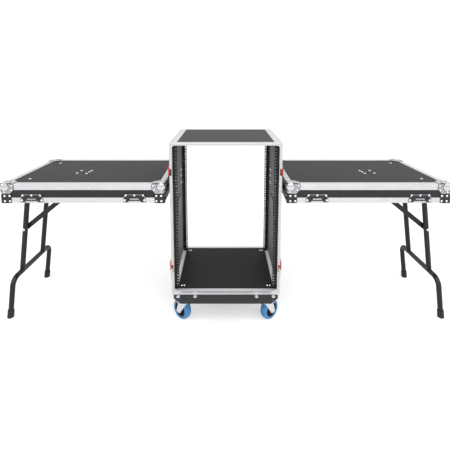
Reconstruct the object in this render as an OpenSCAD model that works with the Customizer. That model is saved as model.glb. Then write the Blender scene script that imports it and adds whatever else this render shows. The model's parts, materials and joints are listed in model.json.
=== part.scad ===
// Equipment rack case on a caster board, with its two lids set up as side tables.
// Millimetres, +Z up. The origin is on the floor, under the middle of the case.
// X runs across the case, and the front opening faces -Y.

/* [Case] */
// Width of the case over its edge extrusions
case_w = 520; // [516:1:540]
// Depth of the case from front rim to rear rim
case_d = 480; // [460:1:560]
// Rack units between the floor and the top
rack_units = 16; // [14:1:18]
// Thickness of the laminated plywood panels
panel_t = 9.5; // [9:0.5:10]
// Thickness of the double floor
floor_t = 20.5; // [18:0.5:22]
// Wall thickness of the aluminium extrusions
skin = 1.5; // [1.2:0.1:1.6]
// How far the rack rails sit behind the rims
rail_recess = 26; // [26:1:40]

/* [Caster board] */
// Thickness of the board
board_t = 18; // [15:1:22]
// How far the board stands out in front and behind
board_over = 40; // [38:1:50]
// Height of a caster from the floor to the board
caster_h = 128; // [126:1:132]
// Diameter of a wheel
wheel_d = 100; // [96:1:100]
// Distance from the swivel axis to the axle
trail = 38; // [30:1:40]
// How far the casters are swivelled from straight out
swivel = 43; // [0:1:80]

/* [Tables] */
// Thickness of a lid
lid_t = 90; // [86:1:96]
// Height of the table tops above the floor
table_z = 706; // [690:1:720]
// Gap between the case and a table
table_gap = 22; // [21:1:26]
// Distance of the leg pivot from the table's outer end
pivot_in = 42; // [38:1:50]
// How far a leg leans outward
splay = 8; // [4:1:9]
// Radius of the leg tube
tube_r = 12.5; // [11:0.5:12.5]
// Length of the folding brace between its pins
brace_len = 400; // [395:1:405]

/* [Hidden] */
$fn = 48;
u = 44.45;
rail_gap = 0.9;
base_z = caster_h + board_t;
rail_len = rack_units * u;
floor_z = base_z + skin + floor_t;
roof_z = floor_z + rail_len + 2 * rail_gap;
case_top = roof_z + panel_t + skin;
case_h = case_top - base_z;
half_w = case_w / 2;
half_d = case_d / 2;
wall_x = half_w - skin - panel_t;

// Closing extrusions that run round both openings
tongue_h = 3;
face_t = 3;
flange_len = 19;
lining_len = 14;
rim_y = half_d - tongue_h - face_t;
corner_r = 14;
angle_leg = 34;
angle_half = rim_y - flange_len;

// Rack rails
rail_y = half_d - rail_recess;
rail_t = 2;
rail_in = 226.5;
rail_leg = 30;
hole_x = 232.55;
hole_r = 3.55;
hole_steps = [6.35, 22.225, 38.1];
rail_z = floor_z + rail_gap;

// Butterfly latches in recessed dishes
latch_y = half_d - 32;
latch_end = 137;
latch_zs = [base_z + latch_end, case_top - latch_end];
dish_y = 25;
dish_z = 38;
dish_clear = 0.2;
hook_notch = 17;
dish_wall = 1.2;
dish_back = wall_x + 0.2;
dish_floor = 1.5;
stem_r = 6;
wing_t = 5;
wing_x = half_w + 4;

// Recessed spring handle in each side
handle_z = base_z + case_h / 2;
grip_box = [62, 42];
grip_back = wall_x - 5;
handle_x = half_w - 7;
handle_pin_z = handle_z + 30;
handle_drop = 58;
grip_r = 7;

// Caster board and casters
board_w = 504;
board_clip = [37, board_over + 2];
plate = [105, 85, 3];
plate_cut = 14;
caster_x = 188;
caster_y = half_d - 20;
plate_hole = [40.5, 30];
head_r = 9.3;
bolt_r = 4;
bolt_hole_r = 4.2;
fork_gap = 42;
fork_t = 4;
axle_z = wheel_d / 2;
tyre_w = 36;
race_z = caster_h - plate[2] - 6;
floor_bolts = [[205.5, 188], [218.5, 188]];
floor_bolt_r = 3;
tyre_in = 36;
hub_half = 20;
bore_r = 5.3;
pedal_pin = [22, 106];

// Lids used as tables
lid_x = half_w + table_gap;
lid_end = lid_x + case_h;
lid_z = table_z - lid_t;
lid_mid = (lid_x + lid_end) / 2;
lid_len = case_h;
top_leg = 26;
side_leg = 28.5;
lid_rim_z = lid_z + tongue_h + face_t;
keeper = [104, 39, 2];
plate_t = 1.5;

// Hooks that hang a table on the case
hook_y = 105;
hook_half = 18;
hook_top = lid_z + 64;
hook_t = 3;

// Legs
pivot_x = lid_end - pivot_in;
pivot_z = lid_z + 30;
leg_len = pivot_z / cos(splay);
tube_y = 107;
foot_y = 192;
bend_r = 40;
bar_drop = 448;
pin_r = 6;
brace_drop = 219;
brace_y = -tube_y + tube_r + 3.5;
brace_t = 5;
brace_w = 24;
slide_z = lid_z + 64;
bolt_x = pivot_x + brace_drop * sin(splay);
bolt_z = pivot_z - brace_drop * cos(splay);
brace_tilt = asin((slide_z - bolt_z) / brace_len);

SIDES = ["left", "right"];
CORNERS = ["front_left", "front_right", "rear_left", "rear_right"];
LATCHES = [for (c = CORNERS) for (h = ["lower", "upper"]) str(c, "_", h)];

// Everything is drawn for the right side and the front, then mirrored.
module on_side(name) { mirror([name == "left" ? 1 : 0, 0, 0]) children(); }
module on_corner(name) {
  rear = name == "rear_left" || name == "rear_right";
  left = name == "front_left" || name == "rear_left";
  mirror([left ? 1 : 0, 0, 0]) mirror([0, rear ? 1 : 0, 0]) children();
}
module both_x() { children(); mirror([1, 0, 0]) children(); }
module both_y() { children(); mirror([0, 1, 0]) children(); }

// A box from its low corner to its high corner
module box(low, high) { translate(low) cube(high - low); }

// A cylinder along X or Y from its start point
module rod_x(p, r, len) { translate(p) rotate([0, 90, 0]) cylinder(r = r, h = len); }
module rod_y(p, r, len) { translate(p) rotate([-90, 0, 0]) cylinder(r = r, h = len); }

// A flat rectangle with round corners, centred on the origin
module round_rect(size, r) {
  square([size[0], size[1] - 2 * r], center = true);
  square([size[0] - 2 * r, size[1]], center = true);
  for (x = [-1, 1], y = [-1, 1])
    translate([x * (size[0] / 2 - r), y * (size[1] / 2 - r)]) circle(r);
}

// An outline in the YZ plane raised along X, or in the XZ plane raised towards -Y
module plate_x(x, len) { translate([x, 0, 0]) rotate([90, 0, 90]) linear_extrude(len) children(); }
module plate_y(y, len) { translate([0, y, 0]) rotate([90, 0, 0]) linear_extrude(len) children(); }

// ---- Case body ----

module latch_cuts(grow) {
  for (z = latch_zs)
    box([wall_x - 1, -half_d, z - dish_z - grow],
        [half_w + 1, -latch_y + dish_y + grow, z + dish_z + grow]);
}

module side_panel() {
  color("#2b2b2e") difference() {
    box([wall_x, -rim_y, base_z + skin], [half_w - skin, rim_y, case_top - skin]);
    both_y() latch_cuts(dish_clear);
    box([wall_x - 1, -grip_box[0] - dish_clear, handle_z - grip_box[1] - dish_clear],
        [half_w, grip_box[0] + dish_clear, handle_z + grip_box[1] + dish_clear]);
  }
}

module top_panel() {
  color("#3a3a3d") box([-wall_x, -rim_y, roof_z], [wall_x, rim_y, roof_z + panel_t]);
}

module floor_panel() {
  color("#2b2b2e") difference() {
    box([-wall_x, -rim_y, base_z + skin], [wall_x, rim_y, floor_z]);
    both_x() both_y() for (p = floor_bolts)
      translate([p[0], -p[1], base_z]) cylinder(r = floor_bolt_r + 0.15, h = floor_t + 5);
  }
}

// Corner angles outside, and the two strips along the foot of the walls inside
module edge_angles() {
  inner_leg = 16;
  inner_half = rail_y - rail_leg - 1;
  color("#c9ccd0") both_x() {
    for (top = [false, true]) {
      z = top ? case_top - skin : base_z;
      leg_z = top ? case_top - angle_leg : base_z;
      box([half_w - angle_leg, -angle_half, z], [half_w, angle_half, z + skin]);
      box([half_w - skin, -angle_half, leg_z], [half_w, angle_half, leg_z + angle_leg]);
    }
    box([wall_x - inner_leg, -inner_half, floor_z], [wall_x, inner_half, floor_z + skin]);
    box([wall_x - skin, -inner_half, floor_z], [wall_x, inner_half, floor_z + inner_leg]);
  }
}

// Ring between two rectangles in the XZ plane, given by its half width and its low and high Z
module ring_y(y, len, out, in) {
  difference() {
    box([-out[0], y, out[1]], [out[0], y + len, out[2]]);
    box([-in[0], y - 1, in[1]], [in[0], y + len + 1, in[2]]);
  }
}

// Closing extrusion: face, tongue that enters the lid's groove, outer flange and inner lining
module opening_frame() {
  open_low = floor_z + skin;
  open_high = roof_z - skin;
  open_x = wall_x - skin;
  color("#c9ccd0") difference() {
    union() {
      difference() {
        box([-half_w, -half_d + tongue_h, base_z], [half_w, -rim_y, case_top]);
        translate([0, 0, (open_low + open_high) / 2]) plate_y(-rim_y + 1, face_t + 2)
          round_rect([2 * open_x, open_high - open_low], corner_r);
      }
      ring_y(-half_d, tongue_h, [half_w - 4, base_z + 4, case_top - 4],
             [half_w - 7, base_z + 7, case_top - 7]);
      ring_y(-rim_y, flange_len, [half_w, base_z, case_top],
             [half_w - skin, base_z + skin, case_top - skin]);
      ring_y(-rim_y, lining_len, [wall_x, floor_z, roof_z], [open_x, open_low, open_high]);
    }
    both_x() latch_pocket_through_flange();
  }
}

// The dish passes through the outer flange, and a notch in the face lets the hook reach the lid
module latch_pocket_through_flange() {
  for (z = latch_zs) {
    box([wall_x + 1, -rim_y + 0.5, z - dish_z - dish_clear],
        [half_w + 1, -latch_y + dish_y + dish_clear, z + dish_z + dish_clear]);
    box([wall_x + 1, -half_d - 1, z - hook_notch], [half_w + 1, -rim_y + 1, z + hook_notch]);
  }
}

// One rail: flange with three holes a rack unit, and a leg along the wall
module rail() {
  color("#1c1c1e") difference() {
    union() {
      box([rail_in, -rail_y, rail_z], [wall_x, -rail_y + rail_t, rail_z + rail_len]);
      box([wall_x - rail_t, -rail_y, rail_z], [wall_x, -rail_y + rail_leg, rail_z + rail_len]);
    }
    for (n = [0:rack_units - 1], step = hole_steps)
      rod_y([hole_x, -rail_y - 1, rail_z + n * u + step], hole_r, rail_t + 2);
  }
}

// ---- Dishes, latches and handles in the sides ----

module tray(y, z, half, back, flange, flange_r) {
  difference() {
    union() {
      box([back, y - half[0], z - half[1]], [half_w, y + half[0], z + half[1]]);
      translate([0, y, z]) plate_x(half_w, dish_wall) round_rect(2 * flange, flange_r);
    }
    box([back + dish_floor, y - half[0] + dish_wall, z - half[1] + dish_wall],
        [half_w + 3, y + half[0] - dish_wall, z + half[1] - dish_wall]);
  }
}

module latch_dishes() {
  color("#1c1c1e") both_x() both_y() for (z = latch_zs) difference() {
    tray(-latch_y, z, [dish_y, dish_z], dish_back, [30, 52], 6);
    box([dish_back + dish_floor, -half_d, z - hook_notch],
        [half_w + 3, -latch_y - dish_y + 2, z + hook_notch]);
  }
}

// Butterfly wing on its stem, with the cam that throws the hook
module latch(z) {
  lobe = 14;
  color("#c8322b") translate([0, -latch_y, z]) {
    rod_x([dish_back + dish_floor + 0.4, 0, 0], stem_r, wing_x - dish_back - dish_floor);
    rod_x([dish_back + dish_floor + 0.4, 0, 0], 16, 3);
    plate_x(wing_x, wing_t) {
      square([14, 2 * lobe], center = true);
      circle(10);
      for (s = [-1, 1]) translate([0, s * lobe]) circle(10);
    }
  }
}

module handle_dishes() {
  color("#1c1c1e") both_x() difference() {
    tray(0, handle_z, grip_box, grip_back, [85, 58], 10);
    rod_y([handle_x, -grip_box[0] - 1, handle_pin_z], 3.1, 2 * grip_box[0] + 2);
  }
}

module handle() {
  arm_y = 52;
  color("#1c1c1e") {
    rod_y([handle_x, -grip_box[0] + 0.3, handle_pin_z], 3, 2 * grip_box[0] - 0.6);
    for (s = [-1, 1]) translate([handle_x, s * arm_y, handle_pin_z - handle_drop])
      cylinder(r = 4, h = handle_drop + 3);
    rod_y([handle_x, -arm_y - 4, handle_pin_z - handle_drop], grip_r, 2 * arm_y + 8);
  }
}

// Rivet heads along the corner angles
module case_rivets() {
  pitch = 66;
  inset = 24;
  rivet_r = 3.2;
  rivet_h = 1.2;
  color("#b4b7bb") both_x() for (n = [-3:3]) {
    translate([half_w - inset, n * pitch, case_top]) cylinder(r = rivet_r, h = rivet_h);
    for (z = [base_z + inset, case_top - inset]) rod_x([half_w, n * pitch, z], rivet_r, rivet_h);
  }
}

// Stirrups on the sides of the case that a table's hooks drop into
module hook_sockets() {
  cheek = 3;
  out = hook_half + 2;
  front_x = half_w + 11;
  color("#8a8d91") both_x() both_y() translate([0, -hook_y, 0]) {
    box([half_w, -out - cheek, hook_top - 84], [half_w + 2, out + cheek, hook_top + 10]);
    box([front_x, -out - cheek, hook_top - 40.3], [front_x + 3, out + cheek, hook_top - 0.3]);
    for (s = [-1, 1]) translate([0, s * (out + cheek / 2), 0])
      box([half_w + 2, -cheek / 2, hook_top - 40.3], [front_x, cheek / 2, hook_top - 0.3]);
  }
}

// ---- Caster board and casters ----

module plate_holes() {
  for (x = [-1, 1], y = [-1, 1]) translate([x * plate_hole[0], y * plate_hole[1]]) children();
}

module board_outline() {
  hw = board_w / 2;
  hd = half_d + board_over;
  clip = board_clip;
  polygon([[hw, clip[1] - hd], [hw, hd - clip[1]], [hw - clip[0], hd], [clip[0] - hw, hd],
           [-hw, hd - clip[1]], [-hw, clip[1] - hd], [clip[0] - hw, -hd], [hw - clip[0], -hd]]);
}

module caster_board() {
  color("#333336") difference() {
    translate([0, 0, caster_h]) linear_extrude(board_t) board_outline();
    both_x() both_y() {
      translate([caster_x, -caster_y, caster_h - 1]) plate_holes()
        cylinder(r = bolt_hole_r, h = board_t + 2);
      for (p = floor_bolts) translate([p[0], -p[1], caster_h + 3])
        cylinder(r = floor_bolt_r + 0.15, h = board_t);
    }
  }
}

// Caster bolts with their nuts, and the bolts that hold the case on the board. A plate's outer two are
// carriage bolts. The case sits over its inner two, which are hexagon screws driven from below.
module board_bolts() {
  head_h = 4.2;
  nut_h = 6;
  nut_z = caster_h - plate[2] - nut_h;
  color("#c3c6ca") both_x() both_y() {
    translate([caster_x, -caster_y, 0]) for (x = [-1, 1], y = [-1, 1])
      translate([x * plate_hole[0], y * plate_hole[1], 0]) {
        end_z = y > 0 ? base_z - 4 : base_z + 0.5;
        translate([0, 0, nut_z - 1]) cylinder(r = bolt_r, h = end_z - nut_z + 1);
        translate([0, 0, nut_z]) cylinder(r = 7.5, h = nut_h, $fn = 6);
        if (y < 0) translate([0, 0, base_z]) cylinder(r1 = head_r, r2 = head_r / 2, h = head_h);
      }
    for (p = floor_bolts) translate([p[0], -p[1], 0]) {
      translate([0, 0, caster_h + 3.2]) cylinder(r = floor_bolt_r, h = floor_z - caster_h - 3.2);
      translate([0, 0, floor_z]) cylinder(r1 = 2 * floor_bolt_r, r2 = floor_bolt_r + 0.5, h = 3);
    }
  }
}

module plate_outline() {
  hx = plate[0] / 2;
  hy = plate[1] / 2;
  c = plate_cut;
  polygon([[hx, c - hy], [hx, hy - c], [hx - c, hy], [c - hx, hy],
           [-hx, hy - c], [-hx, c - hy], [c - hx, -hy], [hx - c, -hy]]);
}

module caster_plates() {
  color("#b8bbbf") both_x() both_y() translate([caster_x, -caster_y, 0]) difference() {
    union() {
      translate([0, 0, caster_h - plate[2]]) linear_extrude(plate[2]) plate_outline();
      translate([0, 0, race_z]) cylinder(r = 30, h = caster_h - plate[2] - race_z);
    }
    translate([0, 0, caster_h - plate[2] - 1]) plate_holes() cylinder(r = bolt_hole_r, h = plate[2] + 2);
    translate([0, 0, race_z - 1]) cylinder(r = 6.3, h = 8);
  }
}

// A caster's own frame: swivel axis at the origin, trail along X, axle along Y
module at_caster() { translate([caster_x, -caster_y, 0]) rotate([0, 0, swivel]) children(); }

module fork(braked) {
  crown_z = race_z - 0.5 - 5;
  bridge_z = crown_z - 4;
  color("#c3c6ca") at_caster() difference() {
    union() {
      translate([0, 0, crown_z]) cylinder(r = 28, h = 5);
      translate([0, 0, crown_z]) cylinder(r = 6, h = 11);
      box([-26, -fork_gap / 2 - fork_t, bridge_z], [30, fork_gap / 2 + fork_t, crown_z]);
      for (s = [0, 1]) plate_y(s * (fork_gap + fork_t) - fork_gap / 2, fork_t) {
        polygon([[-24, crown_z], [30, crown_z], [trail + 13, axle_z + 6], [trail - 11, axle_z - 8]]);
        translate([trail, axle_z]) circle(14);
      }
      rod_y([trail, -fork_gap / 2 - 10, axle_z], 5, fork_gap + 20);
      for (s = [-1, 1]) translate([trail, s * (fork_gap / 2 + fork_t + 3), axle_z])
        rotate([90, 0, 0]) cylinder(r = 9, h = 6, center = true, $fn = 6);
    }
    if (braked) rod_y([pedal_pin[0], -fork_gap, pedal_pin[1]], 3.1, 2 * fork_gap);
  }
}

// Half of a profile of [radius, distance along the axle] points, closed by its own mirror image
module wheel_part(half) {
  count = len(half);
  at_caster() translate([trail, 0, axle_z]) rotate([90, 0, 0]) rotate_extrude($fn = 72)
    polygon(concat([for (p = half) [p[0], -p[1]]], [for (n = [1:count]) half[count - n]]));
}

module tyre() {
  r = wheel_d / 2;
  w = tyre_w / 2;
  color("#4a8fc9") wheel_part([[tyre_in, w - 2], [r - 5, w], [r - 1.5, w - 4], [r, w - 8]]);
}

module hub() {
  rim = tyre_in - 0.02;
  color("#222224")
    wheel_part([[bore_r, hub_half], [13, hub_half], [15, 8], [rim - 6, 8], [rim - 4, 16], [rim, 16]]);
}

module brake_pedal() {
  pin_half = fork_gap / 2 + fork_t - 0.3;
  pad_end = 98;
  pad_half = 17;
  color("#c3c6ca") at_caster() {
    rod_y([pedal_pin[0], -pin_half, pedal_pin[1]], 3, 2 * pin_half);
    box([pedal_pin[0], -pad_half, pedal_pin[1] - 1], [pad_end, pad_half, pedal_pin[1] + 2]);
    box([pad_end - 6, -pad_half, pedal_pin[1] - 7], [pad_end, pad_half, pedal_pin[1] - 1]);
  }
}

// ---- Lids as tables ----

module table_panel() {
  color("#3a3a3d") difference() {
    box([lid_x + skin, -half_w + skin, table_z - skin - panel_t],
        [lid_end - skin, half_w - skin, table_z - skin]);
    mount_bolts() translate([0, 0, table_z - 20]) cylinder(r = 3.2, h = 30);
  }
}

module table_rim() {
  out = skin;
  in = skin + panel_t;
  color("#2b2b2e") difference() {
    box([lid_x + out, -half_w + out, lid_rim_z], [lid_end - out, half_w - out, table_z - skin - panel_t]);
    box([lid_x + in, -half_w + in, lid_rim_z - 1], [lid_end - in, half_w - in, table_z]);
  }
}

// Ring between two rectangles in the XY plane, given by how far each is inset from the lid's outline
module ring_z(z, len, out, in) {
  difference() {
    box([lid_x + out, -half_w + out, z], [lid_end - out, half_w - out, z + len]);
    box([lid_x + in, -half_w + in, z - 1], [lid_end - in, half_w - in, z + len + 1]);
  }
}

// Angle round the top, and the grooved closing extrusion round the lower edge
module table_edging() {
  inner_lip = 2;
  inner = skin + panel_t;
  color("#c9ccd0") {
    ring_z(table_z - skin, skin, 0, top_leg);
    ring_z(table_z - side_leg, side_leg, 0, skin);
    ring_z(lid_z, tongue_h + face_t, 0, skin + 1);
    ring_z(lid_rim_z - face_t, face_t, 0, inner + skin);
    ring_z(lid_z, tongue_h + face_t, inner - inner_lip, inner + skin);
    ring_z(lid_rim_z, flange_len, 0, skin);
    ring_z(lid_rim_z, lining_len, inner, inner + skin);
  }
}

// Ball corner at the outline's corner on the origin, with the lid filling -X, -Y and -Z
module ball_corner() {
  ball_r = 20;
  ball_in = 15;
  leg = 58;
  drop = 46;
  difference() {
    union() {
      translate([-ball_in, -ball_in, -ball_in]) rotate([37, 23, 11]) sphere(r = ball_r);
      box([0, -leg, -drop], [plate_t, plate_t, plate_t]);
      box([-leg, 0, -drop], [plate_t, plate_t, plate_t]);
      box([-leg, -leg, 0], [plate_t, plate_t, plate_t]);
    }
    box([-leg - 1, -leg - 1, -leg - 1], [0, 0, 0]);
  }
}

// Brace round a lower corner, in the same frame
module corner_brace() {
  leg = 45;
  box([0, -leg, 0], [plate_t, 0, leg - 4]);
  box([-leg, 0, 0], [plate_t, plate_t, leg - 4]);
}

module at_lid_corners(z) {
  translate([lid_mid, 0, z]) both_x() both_y() translate([lid_len / 2, half_w, 0]) children();
}

module table_corners() {
  color("#b8bbbf") {
    at_lid_corners(table_z) ball_corner();
    at_lid_corners(lid_z) corner_brace();
  }
}

// Keeper plate with flared ends and the slot that the latch's hook pulls on
module keeper_outline() {
  w = keeper[0] / 2;
  h = keeper[1];
  difference() {
    polygon([[w - 8, h], [w, h - 24], [w, 0], [w - 22, 0], [w - 28, 6],
             [28 - w, 6], [22 - w, 0], [-w, 0], [-w, h - 24], [8 - w, h]]);
    translate([-14, 14]) square([28, 5]);
  }
}

module table_keepers() {
  color("#b8bbbf") both_y() for (x = [lid_x + latch_end, lid_end - latch_end])
    translate([x, 0, lid_z + 2]) plate_y(-half_w, keeper[2]) keeper_outline();
}

module table_hooks() {
  back = lid_x;
  tongue_x = half_w + 5;
  color("#8a8d91") both_y() translate([0, -hook_y, 0]) {
    box([back - hook_t, -hook_half, lid_z + 8], [back, hook_half, hook_top + hook_t]);
    box([tongue_x, -hook_half, hook_top], [back - hook_t, hook_half, hook_top + hook_t]);
    box([tongue_x, -hook_half, hook_top - 30], [tongue_x + hook_t, hook_half, hook_top]);
  }
}

// ---- Folding legs ----

mount_base_y = [150, 186];
mount_bolt = [pivot_x - 45, 168];
slide_bolts = [[757, -60], [754, -8], [707, -66], [704, -34], [701, -8]];
slide_plate = [[688, 770], 6];

// Places of the bolts that show as heads on the table top
module mount_bolts() {
  both_y() translate([mount_bolt[0], -mount_bolt[1], 0]) children();
  for (p = slide_bolts) translate([p[0], p[1], 0]) children();
}

// Pivot brackets, the track that the brace's end runs in, and their bolts
module leg_mounts() {
  under = table_z - skin - panel_t;
  wall_half = 15;
  track = [pivot_x - brace_drop - brace_len - 18, bolt_x - brace_len * cos(brace_tilt) + 20];
  color("#8a8d91") {
    both_y() difference() {
      union() {
        box([pivot_x - 18, -mount_base_y[0] - 6, pivot_z - 14], [pivot_x + 18, -mount_base_y[0], under]);
        box([pivot_x - 56, -mount_base_y[1], under - 3], [pivot_x + 18, -mount_base_y[0], under]);
      }
      rod_y([pivot_x, -mount_base_y[1], pivot_z], pin_r + 0.3, 60);
    }
    for (s = [-1, 1]) translate([0, brace_y + s * wall_half - 1, 0])
      box([track[0], 0, slide_z - 18], [track[1], 2, under - 2]);
    box([track[0], brace_y - wall_half - 1, under - 2], [track[1], brace_y + wall_half + 1, under]);
    box([slide_plate[0][0], brace_y + wall_half + 1, under - 2],
        [slide_plate[0][1], slide_plate[1], under]);
    mount_bolts() translate([0, 0, under]) cylinder(r = 3, h = table_z - skin - under);
    mount_bolts() translate([0, 0, table_z - skin]) cylinder(r1 = 7, r2 = 4.5, h = 2.4);
  }
}

// A leg's own frame: pivot at the origin, leg straight down
module at_pivot() { translate([pivot_x, 0, pivot_z]) rotate([0, -splay, 0]) children(); }

module leg_frame() {
  color("#2e2e31") at_pivot() {
    cross_y = 145;
    rod_y([0, -cross_y, 0], tube_r, 2 * cross_y);
    rod_y([0, -mount_base_y[0] - 14, 0], pin_r, 2 * mount_base_y[0] + 28);
    both_y() {
      translate([0, -tube_y, -bar_drop]) cylinder(r = tube_r, h = bar_drop);
      rod_y([0, -foot_y + bend_r, -bar_drop], tube_r, foot_y - bend_r);
      translate([0, -foot_y + bend_r, -bar_drop - bend_r]) rotate([0, -90, 0])
        rotate_extrude(angle = -90) translate([bend_r, 0]) circle(tube_r);
      translate([0, -foot_y, -leg_len + 8]) cylinder(r = tube_r, h = leg_len - 8 - bar_drop - bend_r);
    }
    rod_y([0, -tube_y - tube_r - 4, -brace_drop], 4, tube_r * 2 + 4 + 3.5 + brace_t + 3);
    rod_y([0, -tube_y - tube_r - 5, -brace_drop], 8, 5.5);
  }
}

module leg_feet() {
  color("#1a1a1b") difference() {
    at_pivot() both_y() translate([0, -foot_y, 0]) difference() {
      translate([0, 0, -leg_len - 6]) cylinder(r = tube_r + 3, h = 46);
      translate([0, 0, -leg_len + 7.9]) cylinder(r = tube_r + 0.05, h = 60);
    }
    box([pivot_x - 300, -half_w, -40], [pivot_x + 300, half_w, 0]);
  }
}

module leg_brace() {
  color("#2e2e31") translate([bolt_x, brace_y, bolt_z]) rotate([0, brace_tilt, 0]) {
    difference() {
      union() {
        box([-brace_len, -brace_t / 2, -brace_w / 2], [0, brace_t / 2, brace_w / 2]);
        rod_y([0, -brace_t / 2, 0], brace_w / 2, brace_t);
        rod_y([-brace_len, -brace_t / 2, 0], brace_w / 2, brace_t);
      }
      rod_y([0, -brace_t, 0], 4.3, 2 * brace_t);
    }
    rod_y([-brace_len, -11, 0], 5, 22);
  }
}

on_side("left") side_panel();  // left_side_panel
on_side("right") side_panel();  // right_side_panel
top_panel();
floor_panel();
edge_angles();
opening_frame();  // front_frame
mirror([0, 1, 0]) opening_frame();  // rear_frame
both_x() rail();  // front_rails
both_x() mirror([0, 1, 0]) rail();  // rear_rails
latch_dishes();
handle_dishes();
case_rivets();
hook_sockets();
caster_board();
board_bolts();
caster_plates();
for (c = CORNERS) {
  on_corner(c) latch(latch_zs[0]);
  on_corner(c) latch(latch_zs[1]);
  on_corner(c) fork(c == "rear_left" || c == "rear_right");
  on_corner(c) tyre();
  on_corner(c) hub();
}
for (s = SIDES) {
  on_side(s) handle();
  on_corner(str("rear_", s)) brake_pedal();
  on_side(s) table_panel();
  on_side(s) table_rim();
  on_side(s) table_edging();
  on_side(s) table_corners();
  on_side(s) table_keepers();
  on_side(s) table_hooks();
  on_side(s) leg_mounts();
  on_side(s) leg_frame();
  on_side(s) leg_feet();
  on_side(s) leg_brace();
}
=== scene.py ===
import json
import math
import bmesh
import bpy
import numpy as np
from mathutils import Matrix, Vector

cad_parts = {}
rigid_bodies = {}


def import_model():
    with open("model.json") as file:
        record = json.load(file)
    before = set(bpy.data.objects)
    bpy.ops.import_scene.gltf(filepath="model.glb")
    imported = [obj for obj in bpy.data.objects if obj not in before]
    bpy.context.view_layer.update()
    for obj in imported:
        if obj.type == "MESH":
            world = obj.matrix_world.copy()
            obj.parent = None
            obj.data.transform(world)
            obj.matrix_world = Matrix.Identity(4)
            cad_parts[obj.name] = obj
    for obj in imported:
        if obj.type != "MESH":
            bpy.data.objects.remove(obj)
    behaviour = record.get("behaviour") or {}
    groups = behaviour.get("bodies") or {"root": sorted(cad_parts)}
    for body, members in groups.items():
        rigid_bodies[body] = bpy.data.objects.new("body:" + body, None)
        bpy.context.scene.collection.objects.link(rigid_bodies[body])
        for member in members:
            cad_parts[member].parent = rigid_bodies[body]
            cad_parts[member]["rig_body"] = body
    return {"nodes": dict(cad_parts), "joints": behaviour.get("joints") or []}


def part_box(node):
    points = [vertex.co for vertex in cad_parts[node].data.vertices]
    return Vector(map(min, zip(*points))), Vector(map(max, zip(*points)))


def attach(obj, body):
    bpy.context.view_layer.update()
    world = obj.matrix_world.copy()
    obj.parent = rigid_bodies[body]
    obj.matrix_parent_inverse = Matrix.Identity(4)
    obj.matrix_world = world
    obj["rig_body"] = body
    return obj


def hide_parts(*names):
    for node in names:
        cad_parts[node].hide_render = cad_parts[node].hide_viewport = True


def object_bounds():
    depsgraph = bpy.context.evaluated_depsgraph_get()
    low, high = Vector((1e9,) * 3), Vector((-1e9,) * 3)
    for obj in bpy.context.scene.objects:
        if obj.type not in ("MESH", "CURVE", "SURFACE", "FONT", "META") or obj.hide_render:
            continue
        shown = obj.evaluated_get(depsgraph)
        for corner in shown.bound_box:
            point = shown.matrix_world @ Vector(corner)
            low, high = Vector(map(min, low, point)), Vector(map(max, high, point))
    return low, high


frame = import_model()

cad_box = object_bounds()

# ---- Studio ----
# A pale floor and a white surround, lit by one large soft lamp above the front and a weaker one at each side.
# The surround is white to the camera and in reflections, and dimmer as a light.
FLOOR_Z = float(cad_box[0][2])
FLOOR_HALF, FLOOR_NEAR, FLOOR_FAR = 14, -9, 24
FLOOR_GREY = (0.9, 0.9, 0.9, 1.0)
FLOOR_GLOW_SEEN = 0.36
FLOOR_GLOW_MIRRORED = 0.12
SURROUND_GLOW = 0.62
LAMP_AIM = (0.0, 0.0, 0.5)
LENS_MM = 29.75
PITCH_DEG = 8.0
CAMERA_AT = (-0.0037, -1.9067, 1.1815)
SHIFT_Y = -0.209

scene = bpy.context.scene
scene.view_settings.view_transform = "Standard"

lens = bpy.data.cameras.new("camera")
lens.lens = LENS_MM
lens.sensor_width = 36.0
lens.shift_y = SHIFT_Y
lens.clip_end = 60.0
camera = bpy.data.objects.new("camera", lens)
camera.location = CAMERA_AT
camera.rotation_euler = (math.radians(90 - PITCH_DEG), 0.0, 0.0)
scene.collection.objects.link(camera)
scene.camera = camera


def wire(tree, a, out, b, into):
    """Joins output `out` of node a to input `into` of node b."""
    tree.links.new(a.outputs[out], b.inputs[into])


def maths(tree, operation, *constants):
    """A Math node with that operation. `constants` go on its second input and those after it."""
    node = tree.nodes.new("ShaderNodeMath")
    node.operation = operation
    for k, value in enumerate(constants):
        node.inputs[k + 1].default_value = value
    return node


def seen_rays(tree):
    """1 for camera, mirror and glass rays, 0 for the rays that only carry light."""
    path = tree.nodes.new("ShaderNodeLightPath")
    first = maths(tree, "MAXIMUM")
    wire(tree, path, "Is Camera Ray", first, 0)
    wire(tree, path, "Is Glossy Ray", first, 1)
    second = maths(tree, "MAXIMUM")
    wire(tree, first, 0, second, 0)
    wire(tree, path, "Is Transmission Ray", second, 1)
    return second


world = bpy.data.worlds.new("white surround")
world.use_nodes = True
sky = world.node_tree.nodes["Background"]
sky.inputs["Color"].default_value = (1.0, 1.0, 1.0, 1.0)
strength = world.node_tree.nodes.new("ShaderNodeMapRange")
strength.inputs["To Min"].default_value = SURROUND_GLOW
strength.inputs["To Max"].default_value = 1.0
wire(world.node_tree, seen_rays(world.node_tree), 0, strength, "Value")
wire(world.node_tree, strength, 0, sky, "Strength")
scene.world = world


def soft_lamp(name, place, size, watts):
    """A square area lamp at `place` that faces LAMP_AIM."""
    light = bpy.data.lights.new(name, "AREA")
    light.shape = "SQUARE"
    light.size = size
    light.energy = watts
    lamp = bpy.data.objects.new(name, light)
    lamp.location = place
    toward = np.array(LAMP_AIM) - np.array(place)
    flat = math.hypot(toward[0], toward[1])
    lamp.rotation_euler = (math.atan2(flat, -toward[2]), 0.0, math.atan2(-toward[0], toward[1]))
    scene.collection.objects.link(lamp)


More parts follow.
